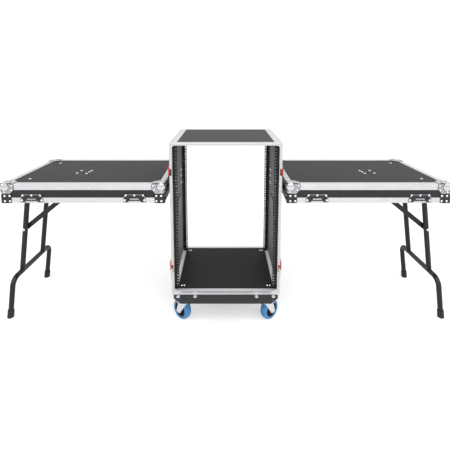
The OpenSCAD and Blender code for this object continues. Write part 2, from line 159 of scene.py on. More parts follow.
soft_lamp("lamp above front", (0.3, -2.6, 3.2), 3.6, 74)
soft_lamp("lamp left", (-3.4, -1.4, 2.0), 2.0, 24)
soft_lamp("lamp right", (3.4, -1.4, 2.0), 2.0, 20)

floor_mesh = bpy.data.meshes.new("floor")
floor_corners = [(-FLOOR_HALF, FLOOR_NEAR, FLOOR_Z), (FLOOR_HALF, FLOOR_NEAR, FLOOR_Z),
                 (FLOOR_HALF, FLOOR_FAR, FLOOR_Z), (-FLOOR_HALF, FLOOR_FAR, FLOOR_Z)]
floor_mesh.from_pydata(floor_corners, [], [(0, 1, 2, 3)])
floor = bpy.data.objects.new("floor", floor_mesh)
scene.collection.objects.link(floor)
floor_paint = bpy.data.materials.new("floor paint")
floor_paint.use_nodes = True
tree = floor_paint.node_tree
tree.nodes.remove(tree.nodes["Principled BSDF"])
matt = tree.nodes.new("ShaderNodeBsdfDiffuse")
matt.inputs["Color"].default_value = FLOOR_GREY
glow = tree.nodes.new("ShaderNodeEmission")
mirrored_glow = maths(tree, "MULTIPLY", FLOOR_GLOW_MIRRORED)
wire(tree, seen_rays(tree), 0, mirrored_glow, 0)
seen_glow = maths(tree, "MULTIPLY_ADD", FLOOR_GLOW_SEEN)
wire(tree, tree.nodes.new("ShaderNodeLightPath"), "Is Camera Ray", seen_glow, 0)
wire(tree, mirrored_glow, 0, seen_glow, 2)
wire(tree, seen_glow, 0, glow, "Strength")
both = tree.nodes.new("ShaderNodeAddShader")
wire(tree, matt, 0, both, 0)
wire(tree, glow, 0, both, 1)
wire(tree, both, 0, tree.nodes["Material Output"], "Surface")
floor_mesh.materials.append(floor_paint)

# ---- Plywood panels ----
# Nine-millimetre birch ply with a black laminate hot-pressed on the outside. The laminate has a fine
# pebble texture, so it looks grey where light grazes it. The inside faces are the same laminate, smoother.
# The top colour is a lighter copy of the same laminate, used on the top panel and the table tops that face
# the lamps: painted light on the tops. The side colour is the walls, floor and rims.
LAMINATE_TOP = (0.029, 0.029, 0.031, 1.0)
LAMINATE_SIDE = (0.022, 0.022, 0.024, 1.0)
PEBBLE_SIZE = 900.0
PLY_EASE = 0.0003
MERGE_WITHIN = 0.000002
FLAT_WITHIN = 0.6


def effect(name, inputs, outputs):
    """An empty shader node group with named sockets: (name, "f" or "c", default)."""
    group = bpy.data.node_groups.new(name, "ShaderNodeTree")
    kinds = {"f": "NodeSocketFloat", "c": "NodeSocketColor"}
    for label, kind, value in inputs:
        socket = group.interface.new_socket(label, in_out="INPUT", socket_type=kinds[kind])
        socket.default_value = value
    for label, kind in outputs:
        group.interface.new_socket(label, in_out="OUTPUT", socket_type=kinds[kind])
    start = group.nodes.new("NodeGroupInput")
    end = group.nodes.new("NodeGroupOutput")
    return group, start, end


def handled_effect():
    """Large soft blotches plus fine specks: a colour drifts by a few percent and the gloss with it."""
    group, start, end = effect(
        "handling marks",
        [("Color", "c", (0.5, 0.5, 0.5, 1.0)), ("Roughness", "f", 0.5), ("Drift", "f", 0.12),
         ("Scale", "f", 9.0)],
        [("Color", "c"), ("Roughness", "f")])
    where = group.nodes.new("ShaderNodeTexCoord")
    cloud = group.nodes.new("ShaderNodeTexNoise")
    cloud.inputs["Detail"].default_value = 6.0
    cloud.inputs["Roughness"].default_value = 0.62
    wire(group, where, "Object", cloud, "Vector")
    wire(group, start, "Scale", cloud, "Scale")
    centred = maths(group, "SUBTRACT", 0.5)
    wire(group, cloud, 0, centred, 0)
    amount = maths(group, "MULTIPLY")
    wire(group, centred, 0, amount, 0)
    wire(group, start, "Drift", amount, 1)
    gain = maths(group, "MULTIPLY_ADD", 2.0, 1.0)
    wire(group, amount, 0, gain, 0)
    tint = group.nodes.new("ShaderNodeVectorMath")
    tint.operation = "SCALE"
    wire(group, start, "Color", tint, 0)
    wire(group, gain, 0, tint, "Scale")
    gloss = maths(group, "ADD")
    gloss.use_clamp = True
    wire(group, start, "Roughness", gloss, 0)
    wire(group, amount, 0, gloss, 1)
    wire(group, tint, 0, end, "Color")
    wire(group, gloss, 0, end, "Roughness")
    return group


HANDLED = handled_effect()


def finish_of(name, colour, roughness, metallic=0.0, drift=0.12, scale=9.0, level=0.5):
    """A Principled material whose colour and gloss pass through the handling marks."""
    mat = bpy.data.materials.new(name)
    mat.use_nodes = True
    mat.diffuse_color = colour
    tree = mat.node_tree
    shader = tree.nodes["Principled BSDF"]
    shader.inputs["Metallic"].default_value = metallic
    shader.inputs["Specular IOR Level"].default_value = level
    marks = tree.nodes.new("ShaderNodeGroup")
    marks.node_tree = HANDLED
    marks.inputs["Color"].default_value = colour
    marks.inputs["Roughness"].default_value = roughness
    marks.inputs["Drift"].default_value = drift
    marks.inputs["Scale"].default_value = scale
    wire(tree, marks, "Color", shader, "Base Color")
    wire(tree, marks, "Roughness", shader, "Roughness")
    return mat


def add_relief(mat, texture, output, strength, distance):
    """Feeds a texture's height into the material's normal through one Bump node."""
    tree = mat.node_tree
    bump = tree.nodes.new("ShaderNodeBump")
    bump.inputs["Strength"].default_value = strength
    bump.inputs["Distance"].default_value = distance
    wire(tree, texture, output, bump, "Height")
    wire(tree, bump, "Normal", tree.nodes["Principled BSDF"], "Normal")


def object_texture(mat, kind, scale, stretch=(1.0, 1.0, 1.0)):
    """A procedural texture on Object coordinates, stretched per axis by a Mapping node."""
    tree = mat.node_tree
    where = tree.nodes.new("ShaderNodeTexCoord")
    turn = tree.nodes.new("ShaderNodeMapping")
    turn.inputs["Scale"].default_value = stretch
    texture = tree.nodes.new(kind)
    texture.inputs["Scale"].default_value = scale
    wire(tree, where, "Object", turn, "Vector")
    wire(tree, turn, "Vector", texture, "Vector")
    return texture


def laminate(name, colour, roughness, level):
    """Black laminate: rounded pebbles from a smooth Voronoi distance, raised a tenth of a millimetre."""
    mat = finish_of(name, colour, roughness, drift=0.16, scale=5.0, level=level)
    pebbles = object_texture(mat, "ShaderNodeTexVoronoi", PEBBLE_SIZE)
    pebbles.feature = "SMOOTH_F1"
    add_relief(mat, pebbles, "Distance", 0.35, 0.0002)
    return mat


LAMINATE = laminate("black laminate top", LAMINATE_TOP, 0.5, 0.12)
LAMINATE_WALL = laminate("black laminate wall", LAMINATE_SIDE, 0.5, 0.35)


def eased(node, width, material, steps=2, crease=34.0, merged=True):
    """The CAD node's own shape with its doubles merged and every hard edge eased by `width`.
    Faces smooth into each other below `crease` degrees, and the bevel keeps its flats flat. `merged` also
    joins the triangles of each flat, which a node with faces shaped like a frame can't have."""
    source = frame["nodes"][node]
    work = bmesh.new()
    work.from_mesh(source.data)
    bmesh.ops.remove_doubles(work, verts=work.verts, dist=MERGE_WITHIN)
    if merged:
        flat = math.radians(FLAT_WITHIN)
        bmesh.ops.dissolve_limit(work, angle_limit=flat, verts=work.verts, edges=work.edges)
    for edge in work.edges:
        edge.smooth = len(edge.link_faces) == 2 and edge.calc_face_angle(0.0) < math.radians(crease)
    for face in work.faces:
        face.smooth = True
    mesh = bpy.data.meshes.new(node + "_finished")
    work.to_mesh(mesh)
    work.free()
    mesh.materials.append(material)
    piece = bpy.data.objects.new(node + "_finished", mesh)
    scene.collection.objects.link(piece)
    if width > 0:
        bevel = piece.modifiers.new("eased edges", "BEVEL")
        bevel.width = width
        bevel.segments = steps
        bevel.limit_method = "ANGLE"
        bevel.angle_limit = math.radians(crease)
        bevel.harden_normals = True
        bevel.miter_outer = "MITER_ARC"
    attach(piece, source["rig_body"])
    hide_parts(node)
    return piece


LAMINATE_FLOOR = laminate("black laminate floor", LAMINATE_SIDE, 0.6, 0.14)
eased("top_panel", PLY_EASE, LAMINATE)
eased("floor_panel", PLY_EASE, LAMINATE_FLOOR)
for node in ("left_side_panel", "right_side_panel"):
    eased(node, PLY_EASE, LAMINATE_WALL, merged=False)

# ---- Aluminium extrusions ----
# Anodised aluminium: closing extrusions round both openings, ribbed corner angles along the sides, and the
# small angles along the foot of the inner walls. All are riveted through the ply.
ALUMINIUM = (0.69, 0.695, 0.71, 1.0)
# The foot strips' colour below is the same aluminium made lighter: painted light on strips that sit in the
# shade of the walls.
FOOT_STRIP_LIGHTENED = (0.86, 0.865, 0.88, 1.0)
RIVET_STEEL = (0.86, 0.87, 0.89, 1.0)
BIRCH = (0.52, 0.40, 0.26, 1.0)
# Grey for the sheets over the inner walls: painted light on the black laminate.
WALL_LIGHT_GREY = (0.19, 0.19, 0.196, 1.0)
CASE_LOW, CASE_HIGH = (np.array(c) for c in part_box("front_frame"))
ANGLE_LOW, ANGLE_HIGH = (np.array(c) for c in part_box("edge_angles"))
FLOOR_TOP = float(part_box("floor_panel")[1][2])
PLY_AND_ANGLE = 0.011
WALL_IN = CASE_HIGH[0] - PLY_AND_ANGLE
WALL = 0.0015
FRAME_EASE = 0.0004
RIB_DEPTH = 0.0007
RIB_HALF = 0.0013
ANGLE_ROUND = 0.0012
ANGLE_BREAK = 0.0003
ANGLE_LEG = 0.034
ANGLE_RIBS = (0.006, 0.009, 0.029)
INNER_LEG = 0.016
INNER_HALF = 0.183
RIVET_R, RIVET_H = 0.0032, 0.0012
RIVET_PITCH = 0.066
RIVET_IN = 0.024
END_RIVET_Y = 0.224
SIDE_MIDDLE_Z = 0.519
LATCH_RISE = 0.236
LATCH_CLEAR = 0.07
BEDDED = 0.0001
PLY_EDGE_Y = (0.2338, 0.2225)
PLY_EDGE_T = 0.0007
WALL_LIGHT_HALF = 0.135
WALL_LIGHT_T = 0.0004


def brushed(name, colour, roughness, stretch, metallic=0.5):
    """Metal drawn along one axis: noise squeezed across the grain makes fine parallel lines."""
    mat = finish_of(name, colour, roughness, metallic=metallic, drift=0.10, scale=14.0)
    grain = object_texture(mat, "ShaderNodeTexNoise", 260.0, stretch)
    grain.inputs["Detail"].default_value = 4.0
    add_relief(mat, grain, 0, 0.5, 0.00005)
    return mat


ALU_X = brushed("aluminium drawn along X", ALUMINIUM, 0.38, (0.03, 1.0, 1.0))
ALU_Y = brushed("aluminium drawn along Y", ALUMINIUM, 0.38, (1.0, 0.03, 1.0))
ALU_Z = brushed("aluminium drawn along Z", ALUMINIUM, 0.38, (1.0, 1.0, 0.03))


def make_piece(name, parts, material, body, replaced=(), crease=34.0):
    """One mesh from (vertices, faces) pairs. Faces are turned outwards and edges above `crease` kept hard."""
    mesh = bpy.data.meshes.new(name)
    vertices, faces, start = [], [], 0
    for points, polygons in parts:
        vertices.append(np.asarray(points, float))
        faces.extend([start + int(k) for k in polygon] for polygon in polygons)
        start += len(points)
    mesh.from_pydata(np.concatenate(vertices).tolist(), [], faces)
    work = bmesh.new()
    work.from_mesh(mesh)
    bmesh.ops.remove_doubles(work, verts=work.verts, dist=MERGE_WITHIN / 2)
    bmesh.ops.recalc_face_normals(work, faces=work.faces)
    for edge in work.edges:
        edge.smooth = len(edge.link_faces) == 2 and edge.calc_face_angle(0.0) < math.radians(crease)
    for face in work.faces:
        face.smooth = True
    work.to_mesh(mesh)
    work.free()
    mesh.materials.append(material)
    piece = bpy.data.objects.new(name, mesh)
    scene.collection.objects.link(piece)
    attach(piece, body)
    if replaced:
        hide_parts(*replaced)
    return piece


def straight_run(outline, start, end):
    """A closed outline carried along a straight line from `start` to `end`, with flat ends."""
    outline = np.asarray(outline, float)
    n = len(outline)
    sides = [[k, (k + 1) % n, (k + 1) % n + n, k + n] for k in range(n)]
    caps = [list(range(n))[::-1], list(range(n, 2 * n))]
    return np.vstack([outline + start, outline + end]), sides + caps


def slab(x0, x1, y0, y1, z0, z1):
    """A rectangular block between two values on each axis."""
    return straight_run([(x0, y0, 0), (x1, y0, 0), (x1, y1, 0), (x0, y1, 0)], (0, 0, z0), (0, 0, z1))


def ribbed_angle(leg, ribs):
    """L outline in its own plane, outer corner at (0, 0), with two equal legs along -a and -b. At each
    distance in `ribs` from the corner, a groove of parabolic section is let into both outer faces."""
    grooves = [(at + t * RIB_HALF, RIB_DEPTH * (1.0 - t * t))
               for at in ribs for t in np.linspace(-1.0, 1.0, 5)]
    points = [(-leg, -WALL), (-leg, -ANGLE_BREAK), (-leg + ANGLE_BREAK, 0.0)]
    points += [(-along, -deep) for along, deep in grooves[::-1]]
    points += [(-ANGLE_ROUND + ANGLE_ROUND * math.sin(t), -ANGLE_ROUND + ANGLE_ROUND * math.cos(t))
               for t in np.linspace(0, math.pi / 2, 5)]
    points += [(-deep, -along) for along, deep in grooves]
    return np.array(points + [(-ANGLE_BREAK, -leg), (-WALL, -leg), (-WALL, -WALL)])


def along_y(outline, corner_x, corner_z, side, flip, y0, y1):
    """An L outline run along Y, its corner at `corner_x`, `corner_z`. `side` and `flip` mirror it."""
    flat = np.zeros((len(outline), 3))
    flat[:, 0] = side * (corner_x + outline[:, 0])
    flat[:, 2] = corner_z + flip * outline[:, 1]
    return straight_run(flat, (0, y0, 0), (0, y1, 0))


corner_angle = ribbed_angle(ANGLE_LEG, ANGLE_RIBS)
foot_angle = ribbed_angle(INNER_LEG, ())
runs, strips = [], []
for side in (-1, 1):
    for edge_z, flip in ((CASE_LOW[2], -1.0), (CASE_HIGH[2], 1.0)):
        runs.append(along_y(corner_angle, CASE_HIGH[0], edge_z, side, flip, ANGLE_LOW[1], ANGLE_HIGH[1]))
    strips.append(along_y(foot_angle, WALL_IN, FLOOR_TOP, side, -1.0, -INNER_HALF, INNER_HALF))
make_piece("corner_angles", runs, ALU_Y, "case", ["edge_angles"])
# A lighter, less metallic copy of the aluminium for the foot strips: painted light.
FOOT_STRIP_PAINTED_LIGHT = brushed("foot strip with painted light", FOOT_STRIP_LIGHTENED, 0.42, (1.0, 0.03, 1.0), metallic=0.15)
make_piece("foot_strips", strips, FOOT_STRIP_PAINTED_LIGHT, "case")
for node in ("front_frame", "rear_frame"):
    eased(node, FRAME_EASE, ALU_Z, merged=False)


def across(axis):
    """The unit vector along `axis` and two more that make a right-angled set with it."""
    axis = np.asarray(axis, float) / np.linalg.norm(axis)
    side = np.cross(axis, (0.0, 0.0, 1.0) if abs(axis[2]) < 0.9 else (1.0, 0.0, 0.0))
    side = side / np.linalg.norm(side)
    return axis, side, np.cross(axis, side)


def cap_faces(rings, around):
    """Faces of `rings` stacked loops that one tip point closes, with a flat base under the first loop."""
    faces = []
    for r in range(rings - 1):
        for k in range(around):
            here, right = r * around + k, r * around + (k + 1) % around
            faces.append([here, right, right + around, here + around])
    last = (rings - 1) * around
    faces += [[last + k, last + (k + 1) % around, last + around] for k in range(around)]
    return faces + [list(range(around))[::-1]]


def domes(places, normal, radius, height, rings=3, around=10):
    """Rivet or bolt heads: each is a low spherical cap, radius times the cosine out and height times the
    sine up, standing on `places` along `normal`."""
    normal, side, third = across(normal)
    tilt = np.linspace(0.0, math.pi / 2, rings + 1)[:-1, None, None]
    turn = (np.arange(around) * 2 * math.pi / around)[None, :, None]
    out = radius * np.cos(tilt) * (np.cos(turn) * side + np.sin(turn) * third)
    cap = (out + height * np.sin(tilt) * normal).reshape(-1, 3)
    cap = np.vstack([cap, normal * height])
    return [(cap + np.asarray(p), cap_faces(rings, around)) for p in places]


# Steel rivets with low domed heads along the angles and up the side panels' ends, clear of the latches
RIVET = finish_of("rivet steel", RIVET_STEEL, 0.25, metallic=1.0, drift=0.1)
rivet_y = [n * RIVET_PITCH for n in range(-3, 4)]
end_z = [z for z in np.linspace(CASE_LOW[2] + 0.05, CASE_HIGH[2] - 0.05, 9)
         if abs(abs(z - SIDE_MIDDLE_Z) - LATCH_RISE) > LATCH_CLEAR]
heads = domes([(s * (CASE_HIGH[0] - RIVET_IN), y, CASE_HIGH[2] - BEDDED) for s in (-1, 1) for y in rivet_y],
              (0, 0, 1), RIVET_R, RIVET_H)
for side in (-1, 1):
    face = side * (CASE_HIGH[0] - BEDDED)
    spots = [(face, y, z) for y in rivet_y for z in (CASE_LOW[2] + RIVET_IN, CASE_HIGH[2] - RIVET_IN)]
    spots += [(face, end * END_RIVET_Y, z) for end in (-1, 1) for z in end_z]
    heads += domes(spots, (side, 0, 0), RIVET_R, RIVET_H)
make_piece("angle_rivets", heads, RIVET, "case", ["case_rivets"])

# The ply's raw edge, a thin tan strip just inside each closing extrusion, and thin grey sheets over the walls
# between the rails.
# The grey sheets are painted light: lighter than the black laminate, where light falls on the inner walls.
PLY = finish_of("raw birch edge", BIRCH, 0.7, drift=0.3, scale=40.0)
WALL_LIGHT_PAINT = finish_of("painted light on inner walls", WALL_LIGHT_GREY, 0.6, drift=0.22, scale=12.0)
strips, sheets = [], []
for side in (-1, 1):
    x0, x1 = side * (WALL_IN - WALL - PLY_EDGE_T), side * (WALL_IN - WALL)
    for end in (-1, 1):
        y0, y1 = (end * y for y in PLY_EDGE_Y)
        strips.append(slab(x0, x1, y0, y1, FLOOR_TOP + 0.02, CASE_HIGH[2] - 0.03))
    x0, x1 = side * (WALL_IN - WALL_LIGHT_T), side * WALL_IN
    sheets.append(slab(x0, x1, -WALL_LIGHT_HALF, WALL_LIGHT_HALF, FLOOR_TOP + 0.017, CASE_HIGH[2] - 0.012))
make_piece("ply_edges", strips, PLY, "case")
make_piece("wall_light_sheets", sheets, WALL_LIGHT_PAINT, "case")

# ---- Rack rails ----
# Rolled steel angles, black plated, with three holes a rack unit for clip-on nuts. They are screwed to the
# walls from inside.
RAIL_BLACK = finish_of("black rail", (0.022, 0.022, 0.025, 1.0), 0.36, metallic=0.6, drift=0.2)
SCREW = finish_of("bright screw", (0.74, 0.75, 0.77, 1.0), 0.22, metallic=1.0)
RAIL_WALL = 0.002
RAIL_SCREW_Y = 0.197
RAIL_SCREW_END = 0.04
RAIL_SCREWS = 6
SCREW_R, SCREW_H = 0.0045, 0.0022
for node in ("front_rails", "rear_rails"):
    eased(node, 0.0003, RAIL_BLACK, steps=1)
rail_low, rail_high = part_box("front_rails")
screw_z = np.linspace(rail_low[2] + RAIL_SCREW_END, rail_high[2] - RAIL_SCREW_END, RAIL_SCREWS)
screws = []
for side in (-1, 1):
    spots = [(side * (WALL_IN - RAIL_WALL), end * RAIL_SCREW_Y, z) for end in (-1, 1) for z in screw_z]
    screws += domes(spots, (-side, 0, 0), SCREW_R, SCREW_H)
make_piece("rail_screws", screws, SCREW, "case")

# ---- Latch dishes and latches ----
# Black pressed-steel dishes let into the sides, eight in all, each with a red butterfly wing on a stem.
# The stem throws a black cam hook on to the lid's keeper, and a backing plate holds the dish from inside.
DISH_BLACK = finish_of("black pressed steel", (0.030, 0.030, 0.033, 1.0), 0.38, metallic=0.3, drift=0.2)
WING_RED = finish_of("red enamel", (0.82, 0.055, 0.032, 1.0), 0.3, drift=0.14, scale=60.0)
PLATED = finish_of("bright zinc", (0.72, 0.73, 0.75, 1.0), 0.32, metallic=0.85, drift=0.16, scale=30.0)
DISH_PROUD = 0.0011
DISH_RIVET_R = 0.003
LATCH_RIVET_Y, LATCH_RIVET_Z = 0.022, 0.045
HOOK_X = (0.2558, 0.2578)
HOOK_OUTLINE = ((-0.010, -0.006), (-0.010, 0.006), (0.016, 0.006), (0.020, 0.009), (0.0225, 0.009),
                (0.0225, -0.009), (0.020, -0.009), (0.016, -0.006))
BACK_Y = (0.2335, 0.2150)
BACK_HALF = 0.037
BACK_T = 0.0011
eased("latch_dishes", 0.0005, DISH_BLACK)
rivets, hooks, backs = [], [], []
for node in [n for n in frame["nodes"] if n.endswith("_latch")]:
    eased(node, 0.0009, WING_RED, steps=3)
    middle = np.mean(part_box(node), axis=0)
    side, end = np.sign(middle[0]), np.sign(middle[1])
    face = side * (CASE_HIGH[0] + DISH_PROUD)
    spots = [(face, middle[1] + a * LATCH_RIVET_Y, middle[2] + b * LATCH_RIVET_Z)
             for a in (-1, 1) for b in (-1, 1)]
    rivets += domes(spots, (side, 0, 0), DISH_RIVET_R, RIVET_H)
    flat = [(0.0, middle[1] + end * a, middle[2] + b) for a, b in HOOK_OUTLINE]
    hooks.append(straight_run(flat, (side * HOOK_X[0], 0, 0), (side * HOOK_X[1], 0, 0)))
    x0, x1 = side * (WALL_IN - WALL - BACK_T), side * (WALL_IN - WALL)
    y0, y1 = (end * y for y in BACK_Y)
    backs.append(slab(x0, x1, y0, y1, middle[2] - BACK_HALF, middle[2] + BACK_HALF))
make_piece("latch_dish_rivets", rivets, RIVET, "case")
make_piece("latch_hooks", hooks, DISH_BLACK, "case")
make_piece("latch_backing_plates", backs, DISH_BLACK, "case")

# ---- Side handles ----
# A sprung steel bail with a ribbed rubber grip, in a black pressed dish riveted at its corners.
# The grip is moulded round the bail's straight part, which lies along Y.
GRIP_RUBBER = finish_of("grip rubber", (0.020, 0.020, 0.021, 1.0), 0.62, drift=0.2, scale=50.0)
GRIP_R = 0.0069
GRIP_HALF = 0.044
GRIP_RISE = 0.007
GRIP_RIBS = 22
GRIP_RIB_H = 0.0008
HANDLE_RIVET_Y, HANDLE_RIVET_Z = 0.076, 0.049
eased("handle_dishes", 0.0005, DISH_BLACK)


def turned(profile, centre, axis, around=48):
    """A profile of (distance along axis, radius) points spun round `axis` through `centre`. The profile is
    open and starts and ends on the axis or closes on itself, so the surface is shut."""
    profile = np.asarray(profile, float)
    axis, side, third = across(axis)
    turn = np.arange(around) * 2 * math.pi / around
    ring = np.cos(turn)[:, None] * side + np.sin(turn)[:, None] * third
    points = np.asarray(centre) + profile[:, 0, None, None] * axis + profile[:, 1, None, None] * ring[None]
    i, j = np.meshgrid(np.arange(len(profile) - 1), np.arange(around), indexing="ij")
    here, right = i * around + j, i * around + (j + 1) % around
    faces = np.stack([here, right, right + around, here + around], axis=-1).reshape(-1, 4)
    return points.reshape(-1, 3), faces


wave = np.linspace(0, 1, GRIP_RIBS * 6 + 1)
ribbed = np.column_stack([GRIP_HALF * (2 * wave - 1),
                          GRIP_R + GRIP_RIB_H * (0.5 + 0.5 * np.cos(2 * math.pi * GRIP_RIBS * wave))])
grip = np.vstack([(-GRIP_HALF, 0.0), ribbed, (GRIP_HALF, 0.0)])
corner_heads = []
for side, node in ((-1, "left_handle"), (1, "right_handle")):
    eased(node, 0.0004, DISH_BLACK)
    low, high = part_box(node)
    middle = ((low[0] + high[0]) / 2, 0.0, low[2] + GRIP_RISE)
    rubber = [turned(grip, middle, (0, 1, 0))]
    make_piece(node + "_grip", rubber, GRIP_RUBBER, node, crease=60.0)
    face = side * (CASE_HIGH[0] + DISH_PROUD)
    corner_heads += domes([(face, a * HANDLE_RIVET_Y, SIDE_MIDDLE_Z + b * HANDLE_RIVET_Z)
                           for a in (-1, 0, 1) for b in (-1, 1)], (side, 0, 0), DISH_RIVET_R, RIVET_H)
make_piece("handle_dish_rivets", corner_heads, RIVET, "case")

# ---- Table hooks and their stirrups ----
# Three-millimetre plated steel hooks on the tables, hung in stirrups on the case. The stirrups are bolted
# through the walls, with the nuts showing inside.
STIRRUP_Y = 0.105
NUT_Y = 0.012
NUT_Z = (0.61, 0.65, 0.682)
NUT_R, NUT_H = 0.0055, 0.0035
eased("hook_sockets", 0.0006, PLATED)
for side in ("left", "right"):
    eased(side + "_table_hooks", 0.0006, PLATED)
nuts = []
for side in (-1, 1):
    spots = [(side * WALL_IN, end * (STIRRUP_Y + a * NUT_Y), z)
             for end in (-1, 1) for a in (-1, 1) for z in NUT_Z]
    nuts += domes(spots, (-side, 0, 0), NUT_R, NUT_H, around=12)
make_piece("stirrup_nuts", nuts, SCREW, "case")

# ---- Caster board ----
# Eighteen-millimetre ply painted black, corners clipped, with the casters bolted through from dome heads.
# The paint is thin, so the grain of the ply stands through it along X.
BOARD_PAINT = finish_of("black board paint", (0.021, 0.021, 0.023, 1.0), 0.55, drift=0.25, scale=7.0)
BOLT_X = (0.188 - 0.0405, 0.188 + 0.0405)
BOLT_Y = 0.25
BOLT_R, BOLT_H = 0.0096, 0.0050
wood_grain = object_texture(BOARD_PAINT, "ShaderNodeTexNoise", 90.0, (0.06, 1.0, 1.0))
wood_grain.inputs["Detail"].default_value = 5.0
add_relief(BOARD_PAINT, wood_grain, 0, 0.5, 0.0004)
eased("caster_board", 0.0012, BOARD_PAINT, steps=3)
eased("board_bolts", 0.0003, SCREW, steps=1)
eased("caster_plates", 0.0006, PLATED)
bolt_foot = float(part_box("caster_board")[1][2]) - BEDDED
spots = [(side * x, end * BOLT_Y, bolt_foot) for side in (-1, 1) for x in BOLT_X for end in (-1, 1)]
bolt_heads = domes(spots, (0, 0, 1), BOLT_R, BOLT_H, rings=6, around=32)
make_piece("carriage_bolt_domes", bolt_heads, SCREW, "case")

# ---- Casters ----
# Pressed zinc-plated forks on a double ball race, with blue elastic tyres on black nylon hubs. The rear
# pair has a brake pedal over the wheel.
TYRE_BLUE = finish_of("blue elastic rubber", (0.085, 0.295, 0.60, 1.0), 0.5, drift=0.16, scale=26.0,
                      level=0.3)
FORK_ZINC = finish_of("bright fork zinc", (0.86, 0.87, 0.89, 1.0), 0.34, metallic=0.5, drift=0.14, scale=30.0)
HUB_BLACK = finish_of("black nylon", (0.020, 0.020, 0.022, 1.0), 0.45, drift=0.2, scale=40.0)
TYRE_R, TYRE_HALF, HUB_R = 0.050, 0.018, 0.036
TREAD_HALF, TREAD_CROWN = 0.0135, 0.0022
TYRE_SIDE = [(-TYRE_HALF + 0.002, HUB_R), (-TYRE_HALF, HUB_R + 0.0015), (-TYRE_HALF, 0.0435),
             (-TYRE_HALF + 0.001, 0.0455)]
HUB_SIDE = [(-0.020, 0.0053), (-0.020, 0.0115), (-0.019, 0.0128), (-0.0085, 0.0142), (-0.007, 0.0165),
            (-0.007, 0.0292), (-0.0085, 0.0312), (-0.0150, 0.0322), (-0.0160, 0.0332), (-0.0160, 0.0352),
            (-0.0155, 0.03598)]
HUB_RIBS = 8
HUB_RIB_T = 0.0011
HUB_RIB_R = (0.0125, 0.0327)
HUB_RIB_DEEP = (0.006, 0.0125)


def both_sides(half, between=()):
    """A closed profile from one side's points, the points between, and the first ones mirrored in reverse."""
    return np.array(list(half) + list(between) + [(-a, r) for a, r in half[::-1]] + [half[0]])


def hub_rib(centre, axle, ahead, up, angle, near, far):
    """One rib: a box between the two rib radii, HUB_RIB_T to each side, `near` to `far` along the axle."""
    out = math.cos(angle) * ahead + math.sin(angle) * up
    side = -math.sin(angle) * ahead + math.cos(angle) * up
    inner, outer = HUB_RIB_R
    corners = [centre + r * out + t * side + a * axle for a in (near, far)
               for r, t in ((inner, -HUB_RIB_T), (outer, -HUB_RIB_T), (outer, HUB_RIB_T), (inner, HUB_RIB_T))]
    sides = [[k, (k + 1) % 4, (k + 1) % 4 + 4, k + 4] for k in range(4)]
    return np.array(corners), [[3, 2, 1, 0], [4, 5, 6, 7]] + sides


bulge = np.linspace(-1.0, 1.0, 15)
tread = np.column_stack([TREAD_HALF * bulge, TYRE_R - TREAD_CROWN * np.abs(bulge) ** 3.0])
tyre_profile = both_sides(TYRE_SIDE, tread)
hub_profile = both_sides(HUB_SIDE)
for joint in [j for j in frame["joints"] if j["name"].endswith("_roll")]:
    corner = joint["name"].removesuffix("_roll")
    centre = np.array(joint["pos_m"])
    axle = np.array(joint["axis"], float)
    axle /= np.linalg.norm(axle)
    up = np.array((0.0, 0.0, 1.0))
    ahead = np.cross(up, axle)
    wheel = corner + "_wheel"
    rubber = [turned(tyre_profile, centre, axle, 72)]
    make_piece(corner + "_tyre_tread", rubber, TYRE_BLUE, wheel, [corner + "_tyre"])
    parts = [turned(hub_profile, centre, axle, 64)]
    for k in range(HUB_RIBS):
        angle = 2 * math.pi * k / HUB_RIBS
        shallow, deep = HUB_RIB_DEEP
        parts.append(hub_rib(centre, axle, ahead, up, angle, -deep, -shallow))
        parts.append(hub_rib(centre, axle, ahead, up, angle, shallow, deep))
    make_piece(corner + "_hub_ribbed", parts, HUB_BLACK, wheel, [corner + "_hub"])
    eased(corner + "_fork", 0.0009, FORK_ZINC)
for side in ("left", "right"):
    eased(side + "_brake_pedal", 0.0009, PLATED)

# ---- Lids used as tables ----
# Each lid is a ply panel on a mitred rim, with a ribbed angle round the top and a grooved closing extrusion
# round the lower edge. Pressed ball corners and lower corner plates are riveted on.
EAR_STEEL = finish_of("nickelled ear steel", (0.46, 0.465, 0.48, 1.0), 0.2, 1.0, drift=0.14, scale=40.0)
# The ball and its bosses are pressed with the ears but given a lighter steel: painted highlight on the ball.
BALL_STEEL_PAINTED_HIGHLIGHT = finish_of("nickelled ball with painted highlight", (0.72, 0.725, 0.74, 1.0), 0.07, 1.0, drift=0.08, scale=60.0)
# Near-black metal for the lower plates and keepers: painted dark reflection on bright plated steel.
STEEL_PAINTED_DARK_REFLECTION = finish_of("steel with painted dark reflection", (0.055, 0.056, 0.06, 1.0), 0.28, 1.0, drift=0.2, scale=40.0)
# Near-black thin sheets round the ears, the ball bosses and the rivet heads: painted shade along the edges
# and in the gaps.
SHADE_LINE_PAINT = finish_of("painted shade lines", (0.012, 0.012, 0.013, 1.0), 0.7, drift=0.3, scale=60.0)
TOP_LEG, SIDE_LEG = 0.026, 0.0285
TABLE_RIB_HALF, SIDE_RIB_DEPTH, TOP_RIB_DEPTH = 0.0011, 0.0005, 0.0004
TOP_RIBS = (0.006, 0.021)
SIDE_RIBS = (0.026, 0.0075)
CLOSING_RIBS = (0.006, 0.0185)
FLANGE, GROOVE_H, SHELF_H, TONGUE_H = 0.025, 0.003, 0.006, 0.020
BALL_IN, BALL_R = 0.015, 0.020
BOSS_R, BOSS_H = 0.0185, 0.0042
EAR, EAR_DROP, EAR_T, EAR_ROUND = 0.058, 0.046, 0.0014, 0.010
TOP_EAR_CUT, SIDE_EAR_CUT = 0.026, 0.018
TOP_EAR_SPOTS = ((0.048, 0.010), (0.010, 0.048), (0.042, 0.036))
SIDE_EAR_SPOTS = ((0.050, 0.010), (0.013, 0.0395), (0.046, 0.031))
